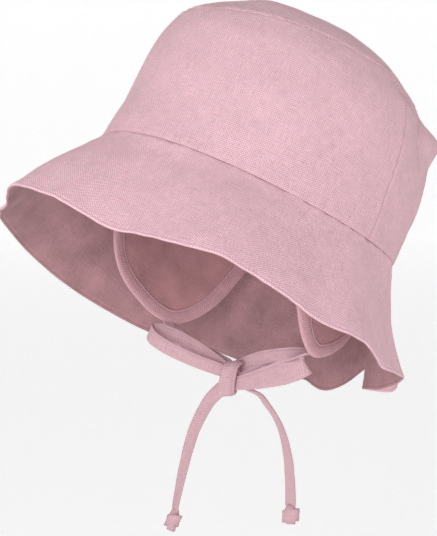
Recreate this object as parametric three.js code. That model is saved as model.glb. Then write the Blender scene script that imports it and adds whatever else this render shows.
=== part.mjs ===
// Baby sun bonnet in pale pink linen: a soft crown, a drooping brim, two ear flaps with
// bound edges inside the brim, and folded tapes that tie in a bow under the chin.
//
// Millimetres, +Z up, front at -Y, the wearer's left at +X. The bonnet is tipped back as
// it is worn, the tapes hang straight down, and the origin is where the head meets the
// underside of the crown top.
import * as THREE from "three";

// Driving dimensions
const SEAM_HALF_WIDTH = 66.7; // brim seam, centre to the side of the head
const SEAM_HALF_LENGTH = 78.9; // brim seam, centre to the forehead
const SEAM_WAVE = 2; // the seam is this much higher at front and back, lower at the sides
const CROWN_HEIGHT = 97.5;
const CLOTH = 1.2; // two layers of linen
const TIP_SEAM_AT_SIDES = 0.595; // share of the way from the brim seam to the crown's centre
const TIP_SEAM_AT_ENDS = 0.505;
const SIDE_SEAM_ANGLE = 114; // degrees from the front to the upright seams of the crown

const BRIM_WIDTH = 60.5;
const BRIM_CLOTH = 1.4;
const BRIM_BELLY = 2; // the brim swells outwards by this much halfway down

// Each flap: how far it hangs below the brim seam, binding included, and the middle of
// its width in degrees from the front. The left one is pulled back by its tie.
const LEFT_FLAP = { side: 1, depth: 60, centre: 109, edge: "tiedBack" };
const RIGHT_FLAP = { side: -1, depth: 54, centre: 95, edge: "plain" };
const FLAP_HALF_SPAN = 34; // degrees
const FLAP_LEAN = 0.05; // inwards, for each millimetre down
const BINDING_WIDTH = 7;
const BINDING_THICKNESS = 2.6;
const FLAP_CLEARANCE = 0.5; // between a flap's binding and the inside of the brim

const TAPE_WIDTH = 7;
const TAPE_THICKNESS = 1.2;
const TAPE_BELOW_FLAP = 2.1; // where a tape starts, under the flap's binding
const KNOT_SIZE = { across: 10.5, deep: 8.5, high: 17 };
const RIGHT_END_KNOT = { across: 6.2, deep: 5, high: 10.4 };
const LEFT_END_KNOT = { across: 7.2, deep: 5.6, high: 8.4 };

// Each loop of the bow: how far it reaches, half the space between its strands, how much
// higher one strand lies than the other, which way it points, and how far above the
// knot's middle it leaves
const RIGHT_LOOP = {
  length: 45.5,
  opening: 5.6,
  strandShift: 2.8,
  heading: new THREE.Vector3(-35, -25, 19),
  leavesAt: 2.4,
};
const LEFT_LOOP = {
  length: 52,
  opening: 3,
  strandShift: -3.2,
  heading: new THREE.Vector3(50, 12, 10),
  leavesAt: -2,
};

const TIPPED_BACK = 26.7; // degrees
const TIPPED_LEFT = 2.4; // degrees
const GAP = 0.3; // between neighbouring pieces
const SEAM_TRIM = 0.25; // taken off each side of a crown seam

// Where each tape from a flap runs in: how far behind the knot's middle, and how far
// sideways and up from it as shares of the knot's size
const TAPE_BEHIND_KNOT = { left: 4.3, right: 3.6 };
const TAPE_AT_KNOT = { across: 0.24, up: 0.36 };

// Where the bow's knot hangs, from the middle of the brim seam
const KNOT_PLACE = new THREE.Vector3(0, -8.7, -81.2);

// Upright outline of the crown. Heights are shares of CROWN_HEIGHT, the other columns
// are shares of the seam's size towards the front, the sides and the back.
const CROWN_SECTIONS = [
  { height: 0, front: 1, side: 1, back: 1.005 },
  { height: 0.1, front: 0.985, side: 1, back: 1.03 },
  { height: 0.25, front: 0.95, side: 0.985, back: 1.06 },
  { height: 0.45, front: 0.93, side: 0.975, back: 1.045 },
  { height: 0.58, front: 0.905, side: 0.95, back: 0.98 },
  { height: 0.68, front: 0.87, side: 0.905, back: 0.91 },
  { height: 0.77, front: 0.81, side: 0.82, back: 0.81 },
  { height: 0.85, front: 0.705, side: 0.7, back: 0.685 },
  { height: 0.92, front: 0.56, side: 0.53, back: 0.52 },
  { height: 0.975, front: 0.32, side: 0.3, back: 0.29 },
  { height: 1, front: 0, side: 0, back: 0 },
];

// Soft dents (inwards) and puffs (outwards, negative) of the crown: where, how far they
// spread, and how deep. Along is the share of the way from the brim seam to the centre.
const CROWN_DENTS = [
  { angle: 12, along: 0.6, spreadAngle: 16, spreadAlong: 0.08, depth: 0.028 },
  { angle: 118, along: 0.57, spreadAngle: 9, spreadAlong: 0.05, depth: 0.032 },
  { angle: 132, along: 0.44, spreadAngle: 5, spreadAlong: 0.1, depth: 0.03 },
  { angle: 148, along: 0.43, spreadAngle: 10, spreadAlong: 0.06, depth: -0.06 },
  { angle: 152, along: 0.53, spreadAngle: 13, spreadAlong: 0.045, depth: 0.03 },
  { angle: 60, along: 0.3, spreadAngle: 22, spreadAlong: 0.2, depth: -0.012 },
  { angle: 300, along: 0.45, spreadAngle: 12, spreadAlong: 0.12, depth: 0.022 },
  { angle: 222, along: 0.5, spreadAngle: 10, spreadAlong: 0.09, depth: 0.028 },
  { angle: 200, along: 0.3, spreadAngle: 8, spreadAlong: 0.14, depth: 0.018 },
];

// The brim, going round from the front to the wearer's left and on: how far it drops below
// level in degrees, its width as a share of BRIM_WIDTH, and how much of BRIM_BELLY it
// swells by halfway down, less than none where it hollows and flares
const BRIM_WAVES = [
  { angle: 0, droop: 49, width: 1, belly: 0.9 },
  { angle: 15, droop: 52, width: 1, belly: 0.5 },
  { angle: 30, droop: 60, width: 1, belly: 0.2 },
  { angle: 45, droop: 56, width: 1, belly: 0.3 },
  { angle: 60, droop: 51, width: 1, belly: 0.6 },
  { angle: 75, droop: 55, width: 1, belly: 0.2 },
  { angle: 90, droop: 60, width: 1, belly: 0 },
  { angle: 105, droop: 58, width: 1, belly: 0 },
  { angle: 120, droop: 64, width: 0.99, belly: -0.5 },
  { angle: 135, droop: 64.5, width: 0.95, belly: -1.2 },
  { angle: 150, droop: 64.5, width: 0.93, belly: -1.3 },
  { angle: 165, droop: 71, width: 0.97, belly: -0.5 },
  { angle: 176, droop: 60, width: 0.973, belly: 0 },
  { angle: 186, droop: 48, width: 0.8, belly: 0 },
  { angle: 193, droop: 71.7, width: 1.015, belly: 0 },
  { angle: 200, droop: 77.4, width: 0.965, belly: 0 },
  { angle: 210, droop: 75, width: 1.024, belly: 0 },
  { angle: 225, droop: 62, width: 1, belly: 0.3 },
  { angle: 240, droop: 61, width: 1, belly: 0.3 },
  { angle: 255, droop: 73, width: 1, belly: 0 },
  { angle: 270, droop: 68, width: 1, belly: 0.2 },
  { angle: 285, droop: 64, width: 0.995, belly: 0.4 },
  { angle: 300, droop: 57, width: 0.985, belly: 0.5 },
  { angle: 315, droop: 51, width: 0.97, belly: 0.5 },
  { angle: 330, droop: 56, width: 0.96, belly: 0.6 },
  { angle: 345, droop: 58, width: 0.975, belly: 0.9 },
];

// The pleat at the back, where the brim doubles over itself: it starts and ends at these
// angles, and at the rim it shifts sideways and in and out by these lengths.
const PLEAT = { from: 163.2, to: 184.6, sideways: 8.2, depth: 3.8 };
const PLEAT_OPENING = 1.5; // how late it opens on the way out to the rim, as a power

// Bound edge of an ear flap: shares of FLAP_HALF_SPAN from its centre, and of its depth.
// The left flap is drawn into a lower, slanting point by its tie.
const FLAP_EDGES = {
  plain: [
    { across: -1, down: 0 },
    { across: -0.94, down: 0.3 },
    { across: -0.82, down: 0.56 },
    { across: -0.56, down: 0.78 },
    { across: -0.2, down: 0.92 },
    { across: 0.1, down: 0.99 },
    { across: 0.32, down: 0.985 },
    { across: 0.54, down: 0.87 },
    { across: 0.72, down: 0.68 },
    { across: 0.87, down: 0.38 },
    { across: 1, down: 0 },
  ],
  tiedBack: [
    { across: -1, down: 0 },
    { across: -0.88, down: 0.26 },
    { across: -0.66, down: 0.5 },
    { across: -0.4, down: 0.71 },
    { across: -0.18, down: 0.89 },
    { across: 0, down: 0.98 },
    { across: 0.16, down: 1 },
    { across: 0.36, down: 0.95 },
    { across: 0.57, down: 0.86 },
    { across: 0.78, down: 0.71 },
    { across: 0.93, down: 0.38 },
    { across: 1, down: 0 },
  ],
};

// Routes of the two hanging tape ends, in millimetres from the knot's middle, and which
// way the tape's width points, in degrees from +X: they twist a little as they hang
const RIGHT_TAIL = [
  { x: -1.9, y: -1, z: -10.1, facing: 20 },
  { x: -9.6, y: -4.8, z: -14.6, facing: 20 },
  { x: -14.4, y: -7.2, z: -20.2, facing: 18 },
  { x: -19.3, y: -9.7, z: -30, facing: 14 },
  { x: -22.7, y: -11.3, z: -40.6, facing: 8 },
  { x: -24.9, y: -12.4, z: -50, facing: 2 },
  { x: -27.1, y: -13.5, z: -59.4, facing: -6 },
  { x: -28.5, y: -14.2, z: -67.4, facing: -12 },
];
const LEFT_TAIL = [
  { x: 4.4, y: 6.4, z: -5.4, facing: -10 },
  { x: 12, y: 9.2, z: -8.2, facing: -12 },
  { x: 17.6, y: 10.2, z: -12.4, facing: -14 },
  { x: 22.8, y: 12.8, z: -20.4, facing: -12 },
  { x: 26.2, y: 14.4, z: -29.2, facing: -6 },
  { x: 27.8, y: 15.3, z: -40, facing: 2 },
  { x: 28.4, y: 15.6, z: -50, facing: 6 },
  { x: 28.7, y: 15.8, z: -59.4, facing: 10 },
];

// The tape from each flap to the knot: share of the way, lift above the straight line as
// a share of its length, and how upright the tape stands
const CHIN_TAPES = {
  left: [
    { along: 0, lift: 0, upright: 0 },
    { along: 0.1, lift: 0.02, upright: 0.1 },
    { along: 0.35, lift: 0.08, upright: 0.25 },
    { along: 0.7, lift: 0.12, upright: 0.3 },
    { along: 1, lift: 0, upright: 1 },
  ],
  right: [
    { along: 0, lift: 0, upright: 0 },
    { along: 0.06, lift: -0.06, upright: 0.3 },
    { along: 0.35, lift: -0.03, upright: 0.9 },
    { along: 0.7, lift: 0.03, upright: 1 },
    { along: 1, lift: 0, upright: 1 },
  ],
};

// How finely the cloth is divided
const CROWN_STEPS_AROUND = 60;
const PANEL_STEPS_UP = 10;
const TIP_STEPS_IN = 6;
const BRIM_STEP_ANGLE = 4.5;
const PLEAT_STEPS = 16;
const BRIM_STEPS_OUT = 6;
const FLAP_STEPS_ALONG = 30;
const FLAP_STEPS_UP = 5;
const CHIN_TAPE_STEPS = 14;
const LOOP_STEPS = 24;
const TAIL_STEPS = 12;
const KNOT_STEPS_UP = 8;
const KNOT_STEPS_AROUND = 14;

// Finishes
const LINEN = new THREE.MeshStandardMaterial({ color: 0xe2bac5, roughness: 0.9, metalness: 0 });
const INNER_LINEN = new THREE.MeshStandardMaterial({ color: 0xc795a2, roughness: 0.92, metalness: 0 });
const TAPE_LINEN = new THREE.MeshStandardMaterial({ color: 0xdcb2bd, roughness: 0.9, metalness: 0 });

const degrees = THREE.MathUtils.degToRad;

// Smooth value of one column of a table whose rows go once round the hat
function roundTable(table, column, angle) {
  const turn = ((angle % 360) + 360) % 360;
  let next = table.findIndex((row) => row.angle > turn);
  if (next < 0) next = table.length;
  const count = table.length;
  const row = (index) => {
    const lap = Math.floor(index / count);
    const entry = table[((index % count) + count) % count];
    return { angle: entry.angle + 360 * lap, value: entry[column] };
  };
  const [before, from, to, after] = [next - 2, next - 1, next, next + 1].map(row);
  const span = to.angle - from.angle;
  const t = (turn - from.angle) / span;
  const slopeFrom = ((to.value - before.value) / (to.angle - before.angle)) * span;
  const slopeTo = ((after.value - from.value) / (after.angle - from.angle)) * span;
  const t2 = t * t;
  const t3 = t2 * t;
  return (
    from.value * (2 * t3 - 3 * t2 + 1) +
    slopeFrom * (t3 - 2 * t2 + t) +
    to.value * (3 * t2 - 2 * t3) +
    slopeTo * (t3 - t2)
  );
}

// The brim seam: an oval round the head, and the level direction out of it
function seamPoint(angle) {
  const turn = degrees(angle);
  return new THREE.Vector3(
    SEAM_HALF_WIDTH * Math.sin(turn),
    -SEAM_HALF_LENGTH * Math.cos(turn),
    SEAM_WAVE * Math.cos(2 * turn),
  );
}

function seamOutwards(angle) {
  const turn = degrees(angle);
  return new THREE.Vector3(
    SEAM_HALF_LENGTH * Math.sin(turn),
    -SEAM_HALF_WIDTH * Math.cos(turn),
    0,
  ).normalize();
}

// A closed wall of cloth over a grid of points. Rows run from the lowest to the highest,
// each from the wearer's right to left as seen from inside; the wall is thickened inwards.
function clothWall(rows, { thickness, wraps = false, pole = null }) {
  const columns = rows[0].length;
  const outer = rows.flat();
  if (pole) outer.push(pole);
  const triangles = [];
  const lastColumn = wraps ? columns : columns - 1;
  const at = (row, column) => row * columns + (column % columns);
  for (let row = 0; row + 1 < rows.length; row += 1) {
    for (let column = 0; column < lastColumn; column += 1) {
      const [a, b] = [at(row, column), at(row, column + 1)];
      const [c, d] = [at(row + 1, column + 1), at(row + 1, column)];
      triangles.push([a, b, c], [a, c, d]);
    }
  }
  const top = rows.length - 1;
  if (pole) {
    for (let column = 0; column < lastColumn; column += 1) {
      triangles.push([at(top, column), at(top, column + 1), outer.length - 1]);
    }
  }

  const sheet = new THREE.BufferGeometry().setFromPoints(outer);
  sheet.setIndex(triangles.flat());
  sheet.computeVertexNormals();
  const normals = sheet.getAttribute("normal");
  const inner = outer.map((point, index) =>
    point.clone().addScaledVector(new THREE.Vector3().fromBufferAttribute(normals, index), -thickness),
  );

  const back = outer.length;
  const faces = triangles.flatMap(([a, b, c]) => [
    [a, b, c],
    [back + a, back + c, back + b],
  ]);
  const edge = (from, to) => faces.push([to, from, back + from], [to, back + from, back + to]);
  for (let column = 0; column < lastColumn; column += 1) {
    edge(at(0, column), at(0, column + 1));
    if (!pole) edge(at(top, column + 1), at(top, column));
  }
  if (!wraps) {
    for (let row = 0; row < top; row += 1) {
      edge(at(row + 1, 0), at(row, 0));
      edge(at(row, columns - 1), at(row + 1, columns - 1));
    }
  }
  const wall = new THREE.BufferGeometry().setFromPoints([...outer, ...inner]);
  wall.setIndex(faces.flat());
  wall.computeVertexNormals();
  return wall;
}

function piece(name, geometry, material) {
  const mesh = new THREE.Mesh(geometry, material);
  mesh.name = name;
  return mesh;
}

// Crown: one smooth outline from the brim seam over the shoulder to the centre
function crownOutline(angle) {
  const turn = degrees(angle);
  const endwise = Math.cos(turn) ** 2;
  const outline = CROWN_SECTIONS.map((section) => {
    const end = Math.cos(turn) > 0 ? section.front : section.back;
    const share = end * endwise + section.side * (1 - endwise);
    const lift = SEAM_WAVE * Math.cos(2 * turn) * (1 - section.height);
    return new THREE.Vector3(
      SEAM_HALF_WIDTH * Math.sin(turn) * share,
      -SEAM_HALF_LENGTH * Math.cos(turn) * share,
      CROWN_HEIGHT * section.height + lift,
    );
  });
  return new THREE.CatmullRomCurve3(outline, false, "centripetal");
}

function angleBetween(first, second) {
  return ((first - second + 540) % 360) - 180;
}

function crownPoint(angle, along) {
  const point = crownOutline(angle).getPointAt(along);
  const outwards = seamOutwards(angle);
  outwards.z = along;
  outwards.normalize();
  const dent = CROWN_DENTS.reduce((sum, row) => {
    const a = angleBetween(angle, row.angle) / row.spreadAngle;
    const b = (along - row.along) / row.spreadAlong;
    return sum + row.depth * Math.exp(-a * a - b * b);
  }, 0);
  return point.addScaledVector(outwards, -dent * CROWN_HEIGHT);
}

function tipSeamAlong(angle) {
  const endwise = Math.cos(degrees(angle)) ** 2;
  return TIP_SEAM_AT_ENDS * endwise + TIP_SEAM_AT_SIDES * (1 - endwise);
}

// One side panel of the crown, between two upright seams
function crownPanel(from, to) {
  const steps = Math.round((CROWN_STEPS_AROUND * (to - from)) / 360);
  const trim = SEAM_TRIM / CROWN_HEIGHT;
  const seamTrim = THREE.MathUtils.radToDeg(SEAM_TRIM / SEAM_HALF_WIDTH);
  const rows = [];
  for (let row = 0; row <= PANEL_STEPS_UP; row += 1) {
    const line = [];
    for (let column = 0; column <= steps; column += 1) {
      const angle = from + seamTrim + ((to - from - 2 * seamTrim) * column) / steps;
      const top = tipSeamAlong(angle) - trim;
      line.push(crownPoint(angle, trim + ((top - trim) * row) / PANEL_STEPS_UP));
    }
    rows.push(line);
  }
  return clothWall(rows, { thickness: CLOTH });
}

function crownTip() {
  const trim = SEAM_TRIM / CROWN_HEIGHT;
  const rows = [];
  for (let row = 0; row < TIP_STEPS_IN; row += 1) {
    const line = [];
    for (let column = 0; column < CROWN_STEPS_AROUND; column += 1) {
      const angle = (360 * column) / CROWN_STEPS_AROUND;
      const start = tipSeamAlong(angle) + trim;
      line.push(crownPoint(angle, start + ((1 - start) * row) / TIP_STEPS_IN));
    }
    rows.push(line);
  }
  const centre = new THREE.Vector3(0, 0, CROWN_HEIGHT);
  return clothWall(rows, { thickness: CLOTH, wraps: true, pole: centre });
}

// Brim: straight out and down from the seam, with waves, a turned-up rim and the pleat
function brimAngles() {
  const angles = [];
  const plainSpan = 360 - (PLEAT.to - PLEAT.from);
  const plainSteps = Math.round(plainSpan / BRIM_STEP_ANGLE);
  for (let step = 0; step < plainSteps; step += 1) angles.push(PLEAT.to + (plainSpan * step) / plainSteps);
  for (let step = 0; step < PLEAT_STEPS; step += 1) {
    angles.push(360 + PLEAT.from + ((PLEAT.to - PLEAT.from) * step) / PLEAT_STEPS);
  }
  return angles;
}

function brimPoint(angle, out) {
  const droop = degrees(roundTable(BRIM_WAVES, "droop", angle));
  const outwards = seamOutwards(angle);
  const sideways = new THREE.Vector3(-outwards.y, outwards.x, 0);
  const point = seamPoint(angle);
  const reach = out * BRIM_WIDTH * roundTable(BRIM_WAVES, "width", angle);
  const belly = BRIM_BELLY * roundTable(BRIM_WAVES, "belly", angle) * Math.sin(Math.PI * out);
  point.addScaledVector(outwards, reach * Math.cos(droop) + belly * Math.sin(droop));
  point.z += belly * Math.cos(droop) - reach * Math.sin(droop) - GAP / 2;
  const turn = angle % 360;
  const through = (turn - PLEAT.from) / (PLEAT.to - PLEAT.from);
  if (through > 0 && through < 1) {
    const swing = Math.sin(2 * Math.PI * through) * out ** PLEAT_OPENING;
    point.addScaledVector(sideways, PLEAT.sideways * swing);
    point.addScaledVector(outwards, -PLEAT.depth * swing);
  }
  return point;
}

function brim() {
  const rows = [];
  for (let row = 0; row <= BRIM_STEPS_OUT; row += 1) {
    rows.push(brimAngles().map((angle) => brimPoint(angle, 1 - row / BRIM_STEPS_OUT)));
  }
  return clothWall(rows, { thickness: BRIM_CLOTH, wraps: true });
}

// Ear flaps hang inside the brim. They are worked out on the flat cloth, across and up,
// where a degree of the seam is a length, and are then bent round the head.
const FLAP_INSET = BRIM_CLOTH + (BINDING_THICKNESS - CLOTH) / 2 + FLAP_CLEARANCE;
const DEGREE_LENGTH = degrees(1) * ((SEAM_HALF_WIDTH + SEAM_HALF_LENGTH) / 2);

const EDGE_SMOOTHING = 0.09; // share of the edge over which its direction is averaged

function flapPoint(flap, flat, inset) {
  const angle = flap.centre + flat.x / DEGREE_LENGTH;
  const depth = -flat.y;
  const point = seamPoint(angle);
  point.addScaledVector(seamOutwards(angle), -inset - FLAP_LEAN * depth);
  point.z -= depth;
  return point.multiply(new THREE.Vector3(flap.side, 1, 1));
}

function flapEdge(flap) {
  const outline = FLAP_EDGES[flap.edge].map(
    (row) =>
      new THREE.Vector3(
        row.across * FLAP_HALF_SPAN * DEGREE_LENGTH,
        -GAP - row.down * (flap.depth - GAP),
        0,
      ),
  );
  const curve = new THREE.CatmullRomCurve3(outline, false, "centripetal");
  const edge = [];
  for (let step = 0; step <= FLAP_STEPS_ALONG; step += 1) {
    const share = step / FLAP_STEPS_ALONG;
    const tangent = curve
      .getPointAt(Math.min(share + EDGE_SMOOTHING, 1))
      .sub(curve.getPointAt(Math.max(share - EDGE_SMOOTHING, 0)))
      .normalize();
    edge.push({ at: curve.getPointAt(share), inwards: new THREE.Vector3(-tangent.y, tangent.x, 0) });
  }
  return edge;
}

function flapWall(flap, steps, flatPoint, inset, thickness) {
  const edge = flapEdge(flap);
  if (flap.side < 0) edge.reverse();
  const rows = [];
  for (let row = 0; row <= steps; row += 1) {
    rows.push(edge.map((place) => flapPoint(flap, flatPoint(place, row / steps), inset)));
  }
  return clothWall(rows, { thickness });
}

function earFlap(flap) {
  const halfSpan = FLAP_HALF_SPAN * DEGREE_LENGTH - BINDING_WIDTH - GAP;
  const flatPoint = (place, up) => {
    const low = place.at.clone().addScaledVector(place.inwards, BINDING_WIDTH + GAP);
    low.y = Math.min(low.y, -GAP);
    const high = new THREE.Vector3(THREE.MathUtils.clamp(low.x, -halfSpan, halfSpan), 0, 0);
    return low.lerp(high, up);
  };
  return flapWall(flap, FLAP_STEPS_UP, flatPoint, FLAP_INSET, CLOTH);
}

function flapBinding(flap) {
  const flatPoint = (place, up) => {
    const point = place.at.clone().addScaledVector(place.inwards, BINDING_WIDTH * up);
    point.y = Math.min(point.y, -GAP);
    return point;
  };
  const inset = FLAP_INSET - (BINDING_THICKNESS - CLOTH) / 2;
  return flapWall(flap, 1, flatPoint, inset, BINDING_THICKNESS);
}

// A flat tape along a smooth route. Each place has the direction across the tape.
function tape(places, steps) {
  const route = new THREE.CatmullRomCurve3(places.map((place) => place.at), false, "centripetal");
  const acrossRoute = new THREE.CatmullRomCurve3(places.map((place) => place.across), false, "centripetal");
  const points = [];
  for (let step = 0; step <= steps; step += 1) {
    const share = step / steps;
    const along = route.getTangent(share);
    const across = acrossRoute.getPoint(share);
    across.addScaledVector(along, -across.dot(along)).normalize();
    const up = new THREE.Vector3().crossVectors(along, across);
    const corners = [
      [-1, -1],
      [1, -1],
      [1, 1],
      [-1, 1],
    ];
    corners.forEach(([sideways, over]) => {
      points.push(
        route
          .getPoint(share)
          .addScaledVector(across, (sideways * TAPE_WIDTH) / 2)
          .addScaledVector(up, (over * TAPE_THICKNESS) / 2),
      );
    });
  }
  const faces = [
    [0, 2, 1],
    [0, 3, 2],
  ];
  for (let step = 0; step < steps; step += 1) {
    for (let corner = 0; corner < 4; corner += 1) {
      const a = 4 * step + corner;
      const b = 4 * step + ((corner + 1) % 4);
      faces.push([a, b, b + 4], [a, b + 4, a + 4]);
    }
  }
  const last = 4 * steps;
  faces.push([last, last + 1, last + 2], [last, last + 2, last + 3]);
  const geometry = new THREE.BufferGeometry().setFromPoints(points);
  geometry.setIndex(faces.flat());
  geometry.computeVertexNormals();
  return geometry;
}

// A pulled-tight knot: rounded, flattened from front to back, and a little waisted
const KNOT_FULLNESS = 0.6; // as a power of the round outline: less is squarer
const KNOT_WAIST = { depth: 0.12, sharpness: 6 };

function knot(size, facing) {
  const outline = [];
  for (let ring = 0; ring <= KNOT_STEPS_UP; ring += 1) {
    const turn = (Math.PI * ring) / KNOT_STEPS_UP;
    const waist = 1 - KNOT_WAIST.depth * Math.sin(turn) ** KNOT_WAIST.sharpness;
    const radius = (Math.max(Math.sin(turn), 0) ** KNOT_FULLNESS * waist) / 2;
    outline.push(new THREE.Vector2(ring % KNOT_STEPS_UP === 0 ? 0 : radius, -Math.cos(turn) / 2));
  }
  const body = new THREE.LatheGeometry(outline, KNOT_STEPS_AROUND);
  body.rotateX(Math.PI / 2);
  body.scale(size.across, size.deep, size.high);
  body.rotateZ(degrees(facing));
  return body;
}

// Bonnet pieces, in the bonnet's own level axes
const bonnet = new THREE.Group();
bonnet.add(
  piece("crown_tip", crownTip(), LINEN),
  piece("crown_front_panel", crownPanel(-SIDE_SEAM_ANGLE, SIDE_SEAM_ANGLE), LINEN),
  piece("crown_back_panel", crownPanel(SIDE_SEAM_ANGLE, 360 - SIDE_SEAM_ANGLE), LINEN),
  piece("brim", brim(), LINEN),
  piece("ear_flap_left", earFlap(LEFT_FLAP), INNER_LINEN),
  piece("ear_flap_right", earFlap(RIGHT_FLAP), INNER_LINEN),
  piece("flap_binding_left", flapBinding(LEFT_FLAP), TAPE_LINEN),
  piece("flap_binding_right", flapBinding(RIGHT_FLAP), TAPE_LINEN),
);
bonnet.rotation.set(degrees(-TIPPED_BACK), degrees(-TIPPED_LEFT), 0);
bonnet.updateMatrix();

// Ties, in upright axes: from each flap's point to the knot, two loops and two ends
const BOW_FACING = 32; // degrees that the knot is turned towards the wearer's left
const bowAcross = new THREE.Vector3(Math.cos(degrees(BOW_FACING)), Math.sin(degrees(BOW_FACING)), 0);

function flapTip(flap) {
  const lowest = flapEdge(flap).reduce((best, place) => (place.at.y < best.at.y ? place : best));
  const below = lowest.at.clone();
  below.y -= TAPE_BELOW_FLAP;
  return flapPoint(flap, below, FLAP_INSET + CLOTH / 2).applyMatrix4(bonnet.matrix);
}

// The tapes from the flaps run in behind the knot, near its top
function behindKnot(side) {
  const behind = side > 0 ? TAPE_BEHIND_KNOT.left : TAPE_BEHIND_KNOT.right;
  const backwards = new THREE.Vector3(-bowAcross.y, bowAcross.x, 0);
  return KNOT_PLACE.clone()
    .addScaledVector(bowAcross, side * TAPE_AT_KNOT.across * KNOT_SIZE.across)
    .addScaledVector(backwards, behind)
    .add(new THREE.Vector3(0, 0, TAPE_AT_KNOT.up * KNOT_SIZE.high));
}

function chinTape(flap, rows) {
  const start = flapTip(flap);
  const end = behindKnot(flap.side);
  const span = start.distanceTo(end);
  const flat = new THREE.Vector3(0, 1, 0);
  const upright = new THREE.Vector3(0, 0, 1);
  const places = rows.map((row) => ({
    at: start
      .clone()
      .lerp(end, row.along)
      .add(new THREE.Vector3(0, 0, row.lift * span)),
    across: flat.clone().lerp(upright, row.upright),
  }));
  return tape(places, CHIN_TAPE_STEPS);
}

// Outline of a loop seen from its edge: shares of its length, its opening and its shift
const LOOP_OUTLINE = [
  { out: 0.12, apart: 0.36, shift: 0.35 },
  { out: 0.4, apart: 0.85, shift: 0.8 },
  { out: 0.75, apart: 1, shift: 1 },
  { out: 0.95, apart: 0.62, shift: 0.6 },
  { out: 1, apart: 0, shift: 0 },
  { out: 0.95, apart: -0.62, shift: -0.6 },
  { out: 0.75, apart: -1, shift: -1 },
  { out: 0.4, apart: -0.85, shift: -0.8 },
  { out: 0.12, apart: -0.36, shift: -0.35 },
];

function bowLoop(size) {
  const away = size.heading.clone().normalize();
  const upright = new THREE.Vector3(0, 0, 1);
  const across = upright.addScaledVector(away, -away.z).normalize();
  const apart = new THREE.Vector3().crossVectors(away, across);
  const start = KNOT_PLACE.clone().add(new THREE.Vector3(0, 0, size.leavesAt));
  const places = LOOP_OUTLINE.map((row) => ({
    at: start
      .clone()
      .addScaledVector(away, row.out * size.length)
      .addScaledVector(apart, row.apart * size.opening)
      .addScaledVector(across, row.shift * size.strandShift),
    across: across.clone(),
  }));
  return tape(places, LOOP_STEPS);
}

function tail(route) {
  const places = route.map((row) => ({
    at: new THREE.Vector3(row.x, row.y, row.z).add(KNOT_PLACE),
    across: new THREE.Vector3(Math.cos(degrees(row.facing)), Math.sin(degrees(row.facing)), 0),
  }));
  return tape(places, TAIL_STEPS);
}

// The knot at a tail's end hangs on in the tail's own direction
function endKnot(route, size) {
  const [before, last] = route.slice(-2).map((row) => new THREE.Vector3(row.x, row.y, row.z));
  const onwards = last.clone().sub(before).normalize();
  const middle = last.addScaledVector(onwards, size.high / 2 + GAP).add(KNOT_PLACE);
  return knot(size, BOW_FACING).translate(middle.x, middle.y, middle.z);
}

const bowKnot = knot(KNOT_SIZE, BOW_FACING).translate(KNOT_PLACE.x, KNOT_PLACE.y, KNOT_PLACE.z);

const ties = new THREE.Group();
ties.add(
  piece("chin_tape_left", chinTape(LEFT_FLAP, CHIN_TAPES.left), TAPE_LINEN),
  piece("chin_tape_right", chinTape(RIGHT_FLAP, CHIN_TAPES.right), TAPE_LINEN),
  piece("bow_knot", bowKnot, TAPE_LINEN),
  piece("bow_loop_right", bowLoop(RIGHT_LOOP), TAPE_LINEN),
  piece("bow_loop_left", bowLoop(LEFT_LOOP), TAPE_LINEN),
  piece("tape_end_right", tail(RIGHT_TAIL), TAPE_LINEN),
  piece("tape_end_left", tail(LEFT_TAIL), TAPE_LINEN),
  piece("end_knot_right", endKnot(RIGHT_TAIL, RIGHT_END_KNOT), TAPE_LINEN),
  piece("end_knot_left", endKnot(LEFT_TAIL, LEFT_END_KNOT), TAPE_LINEN),
);

// The origin is on the head, at the underside of the crown top
const headRest = new THREE.Vector3(0, 0, CROWN_HEIGHT - CLOTH).applyMatrix4(bonnet.matrix);
const assembly = new THREE.Group();
assembly.add(bonnet, ties);
assembly.position.copy(headRest).negate();

export default assembly;
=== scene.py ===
import math

import bmesh
import bpy
import numpy as np
from mathutils import Matrix, Vector, noise


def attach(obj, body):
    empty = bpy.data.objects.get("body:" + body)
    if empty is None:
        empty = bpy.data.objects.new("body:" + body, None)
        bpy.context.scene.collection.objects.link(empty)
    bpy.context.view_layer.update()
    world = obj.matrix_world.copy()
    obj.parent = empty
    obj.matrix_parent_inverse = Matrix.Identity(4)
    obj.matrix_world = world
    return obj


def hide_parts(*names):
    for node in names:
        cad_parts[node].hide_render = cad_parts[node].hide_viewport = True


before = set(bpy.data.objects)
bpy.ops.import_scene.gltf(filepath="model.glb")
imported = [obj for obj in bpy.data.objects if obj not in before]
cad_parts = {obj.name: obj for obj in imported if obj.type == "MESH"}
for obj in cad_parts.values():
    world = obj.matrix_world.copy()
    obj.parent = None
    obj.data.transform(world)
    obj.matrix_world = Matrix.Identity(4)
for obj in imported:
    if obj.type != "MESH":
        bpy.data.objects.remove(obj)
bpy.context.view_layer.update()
bpy.ops.object.select_all(action="DESELECT")


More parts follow.
